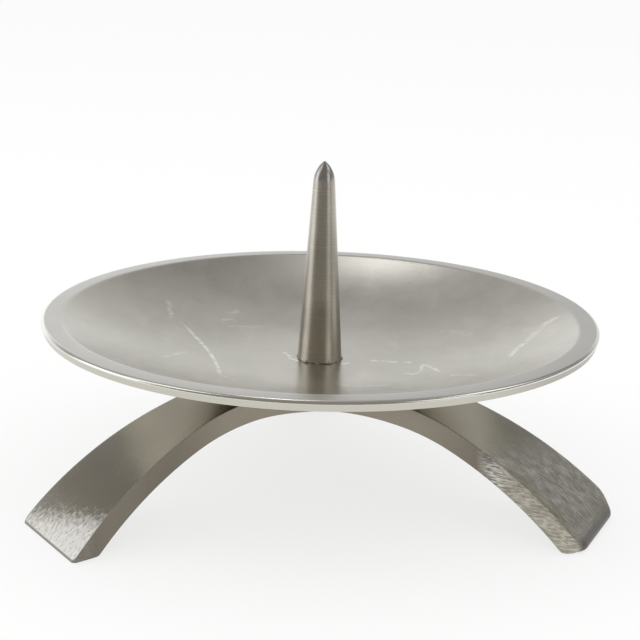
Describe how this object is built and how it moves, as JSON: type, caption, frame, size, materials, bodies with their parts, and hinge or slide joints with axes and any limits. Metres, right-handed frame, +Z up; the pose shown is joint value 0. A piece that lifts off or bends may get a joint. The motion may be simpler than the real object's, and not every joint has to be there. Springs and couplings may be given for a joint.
{
  "type": "pricket candle stand",
  "caption": "Low metal candle stand: a shallow round drip dish with a pricket spike at its centre, on a bent tripod base with flat feet.",
  "frame": {"origin": "on the table plane, on the axis of the spike and the dish, midway between the feet", "axes": "+Z up along the spike, +Y along the back leg, so that the front legs point to -Y on both sides; +X to the right seen from the front"},
  "size_m": [0.1232, 0.125, 0.0722],
  "materials": {
    "dish_steel": "satin, spun, with a lighter rim band",
    "spike_steel": "turned, with a smoother point",
    "base_steel": "satin, brushed along the legs",
    "screw_steel": "plain bright"
  },
  "bodies": {
    "root": {"drip_dish": "dish_steel", "pricket_spike": "spike_steel", "tripod_base": "base_steel", "lock_washer": "screw_steel", "fixing_screw": "screw_steel"}
  },
  "joints": []
}
